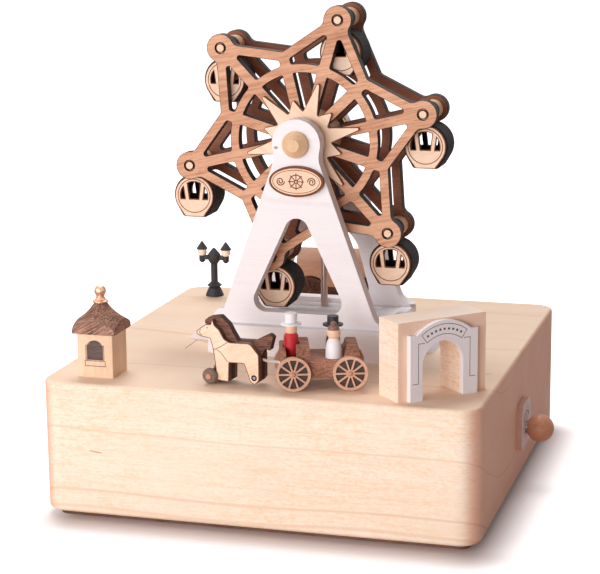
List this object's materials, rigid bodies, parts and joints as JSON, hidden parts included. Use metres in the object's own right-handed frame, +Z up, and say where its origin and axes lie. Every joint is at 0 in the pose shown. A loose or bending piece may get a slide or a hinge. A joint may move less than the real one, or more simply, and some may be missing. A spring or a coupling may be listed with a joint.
{
  "type": "crank ferris wheel toy",
  "caption": "Wooden desk toy: a knob on a square music base turns a ferris wheel with hanging cabins and draws a horse and cart and a van round it.",
  "frame": {"origin": "middle of the flat underside that the toy rests on", "axes": "+Z up, +X towards the winding knob, -Y the front of the toy"},
  "size_m": [0.162, 0.154, 0.1686],
  "materials": {
    "maple": "oiled satin",
    "white_wood": "white stain, satin",
    "tan_wood": "laser cut, satin",
    "light_maple": "satin",
    "walnut": "oiled satin",
    "black_wood": "black paint, satin",
    "white_paint": "white paint",
    "red_coat": "red and white paint",
    "white_cotton": "soft cotton cord",
    "steel": "polished",
    "brass": "satin",
    "cast_bed": "cast, zinc plated",
    "black_metal": "gloss black",
    "magnet": "nickel plated",
    "ply": "bare plywood"
  },
  "bodies": {
    "base": {"base_block": "maple", "bottom_plate": "ply", "base_screws": "steel", "brass_bushes": "brass", "stand_block": "white_wood", "boarding_ramps": "white_wood", "front_frame": "white_wood", "rear_frame": "white_wood", "plaque": "light_maple", "rod_bracket": "white_wood", "crank_plate": "white_paint", "movement_bed": "cast_bed", "music_comb": "steel", "kiosk_walls": "light_maple", "kiosk_roof": "walnut", "kiosk_finial": "brass", "lamp_post": "black_metal", "lamp_lanterns": "light_maple", "gate_block": "light_maple", "gate_plate": "white_paint"},
    "wheel": {"front_star": "tan_wood", "rear_star": "tan_wood", "sunburst": "light_maple", "wheel_axle": "steel", "hub_spool": "maple", "hub_caps": "white_paint", "wheel_crown_gear": "brass", "lobe_spacers": "light_maple"},
    "cabin_1": {"cabin_1": "black_wood", "cabin_1_faces": "light_maple"},
    "cabin_2": {"cabin_2": "black_wood", "cabin_2_faces": "light_maple"},
    "cabin_3": {"cabin_3": "black_wood", "cabin_3_faces": "light_maple"},
    "cabin_4": {"cabin_4": "black_wood", "cabin_4_faces": "light_maple"},
    "cabin_5": {"cabin_5": "black_wood", "cabin_5_faces": "light_maple"},
    "cabin_6": {"cabin_6": "black_wood", "cabin_6_faces": "light_maple"},
    "drive_rod": {"drive_rod": "steel"},
    "turntable": {"centre_shaft": "steel", "centre_gears": "brass", "magnet_arm": "ply", "arm_magnets": "magnet"},
    "crank": {"crank_shaft": "steel", "crank_knob": "maple"},
    "music_drum": {"music_drum": "brass"},
    "horse_cart": {"cart_body": "walnut", "driver": "red_coat", "passengers": "white_paint", "horse_core": "walnut", "horse_sides": "light_maple", "tow_cord": "white_cotton"},
    "cart_front_axle": {"cart_front_wheels": "walnut"},
    "cart_rear_axle": {"cart_rear_wheels": "walnut"},
    "horse_axle": {"horse_wheels": "light_maple"},
    "wagon": {"wagon_body": "walnut"},
    "wagon_front_axle": {"wagon_front_wheels": "walnut"},
    "wagon_rear_axle": {"wagon_rear_wheels": "walnut"}
  },
  "joints": [
    {"name": "wheel_spin", "type": "hinge", "parent": "base", "child": "wheel", "pos_m": [0, 0, 0.122], "axis": [0, -1, 0], "continuous": true},
    {"name": "cabin_1_swing", "type": "hinge", "parent": "wheel", "child": "cabin_1", "pos_m": [0.04225, -0.003, 0.13214], "axis": [0, -1, 0], "continuous": true},
    {"name": "cabin_2_swing", "type": "hinge", "parent": "wheel", "child": "cabin_2", "pos_m": [0.01234, -0.003, 0.16366], "axis": [0, -1, 0], "continuous": true},
    {"name": "cabin_3_swing", "type": "hinge", "parent": "wheel", "child": "cabin_3", "pos_m": [-0.02991, -0.003, 0.15352], "axis": [0, -1, 0], "continuous": true},
    {"name": "cabin_4_swing", "type": "hinge", "parent": "wheel", "child": "cabin_4", "pos_m": [-0.04225, -0.003, 0.11186], "axis": [0, -1, 0], "continuous": true},
    {"name": "cabin_5_swing", "type": "hinge", "parent": "wheel", "child": "cabin_5", "pos_m": [-0.01234, -0.003, 0.08034], "axis": [0, -1, 0], "continuous": true},
    {"name": "cabin_6_swing", "type": "hinge", "parent": "wheel", "child": "cabin_6", "pos_m": [0.02991, -0.003, 0.09048], "axis": [0, -1, 0], "continuous": true},
    {"name": "rod_spin", "type": "hinge", "parent": "base", "child": "drive_rod", "pos_m": [0, 0.0115, 0.08], "axis": [0, 0, 1], "continuous": true},
    {"name": "turntable_spin", "type": "hinge", "parent": "base", "child": "turntable", "pos_m": [0, 0, 0.03], "axis": [0, 0, 1], "continuous": true},
    {"name": "crank_turn", "type": "hinge", "parent": "base", "child": "crank", "pos_m": [0.06, 0, 0.0204], "axis": [1, 0, 0], "continuous": true},
    {"name": "music_drum_spin", "type": "hinge", "parent": "base", "child": "music_drum", "pos_m": [0.042, -0.0144, 0.0204], "axis": [1, 0, 0], "continuous": true},
    {"name": "horse_cart_run", "type": "hinge", "parent": "base", "child": "horse_cart", "pos_m": [0, 0, 0.0474], "axis": [0, 0, 1], "continuous": true},
    {"name": "wagon_run", "type": "hinge", "parent": "base", "child": "wagon", "pos_m": [0, 0, 0.0474], "axis": [0, 0, 1], "continuous": true},
    {"name": "cart_front_roll", "type": "hinge", "parent": "horse_cart", "child": "cart_front_axle", "pos_m": [0.00911, -0.0606, 0.0533], "axis": [-0.3223, 0.9466, 0], "continuous": true},
    {"name": "cart_rear_roll", "type": "hinge", "parent": "horse_cart", "child": "cart_rear_axle", "pos_m": [0.02672, -0.0546, 0.0533], "axis": [-0.3223, 0.9466, 0], "continuous": true},
    {"name": "horse_wheel_roll", "type": "hinge", "parent": "horse_cart", "child": "horse_axle", "pos_m": [-0.01719, -0.06207, 0.0502], "axis": [0.1219, 0.9925, 0], "continuous": true},
    {"name": "wagon_front_roll", "type": "hinge", "parent": "wagon", "child": "wagon_front_axle", "pos_m": [0.00339, 0.06111, 0.0533], "axis": [0.1167, -0.9932, 0], "continuous": true},
    {"name": "wagon_rear_roll", "type": "hinge", "parent": "wagon", "child": "wagon_rear_axle", "pos_m": [-0.01746, 0.05866, 0.0533], "axis": [0.1167, -0.9932, 0], "continuous": true}
  ],
  "couplings": [
    {"joint": "cabin_1_swing", "follows": "wheel_spin", "ratio": -1},
    {"joint": "cabin_2_swing", "follows": "wheel_spin", "ratio": -1},
    {"joint": "cabin_3_swing", "follows": "wheel_spin", "ratio": -1},
    {"joint": "cabin_4_swing", "follows": "wheel_spin", "ratio": -1},
    {"joint": "cabin_5_swing", "follows": "wheel_spin", "ratio": -1},
    {"joint": "cabin_6_swing", "follows": "wheel_spin", "ratio": -1},
    {"joint": "rod_spin", "follows": "wheel_spin", "ratio": 4},
    {"joint": "turntable_spin", "follows": "wheel_spin", "ratio": -2.5714},
    {"joint": "horse_cart_run", "follows": "wheel_spin", "ratio": -2.5714},
    {"joint": "wagon_run", "follows": "wheel_spin", "ratio": -2.5714},
    {"joint": "crank_turn", "follows": "wheel_spin", "ratio": 12.343},
    {"joint": "music_drum_spin", "follows": "wheel_spin", "ratio": -6.1714}
  ]
}
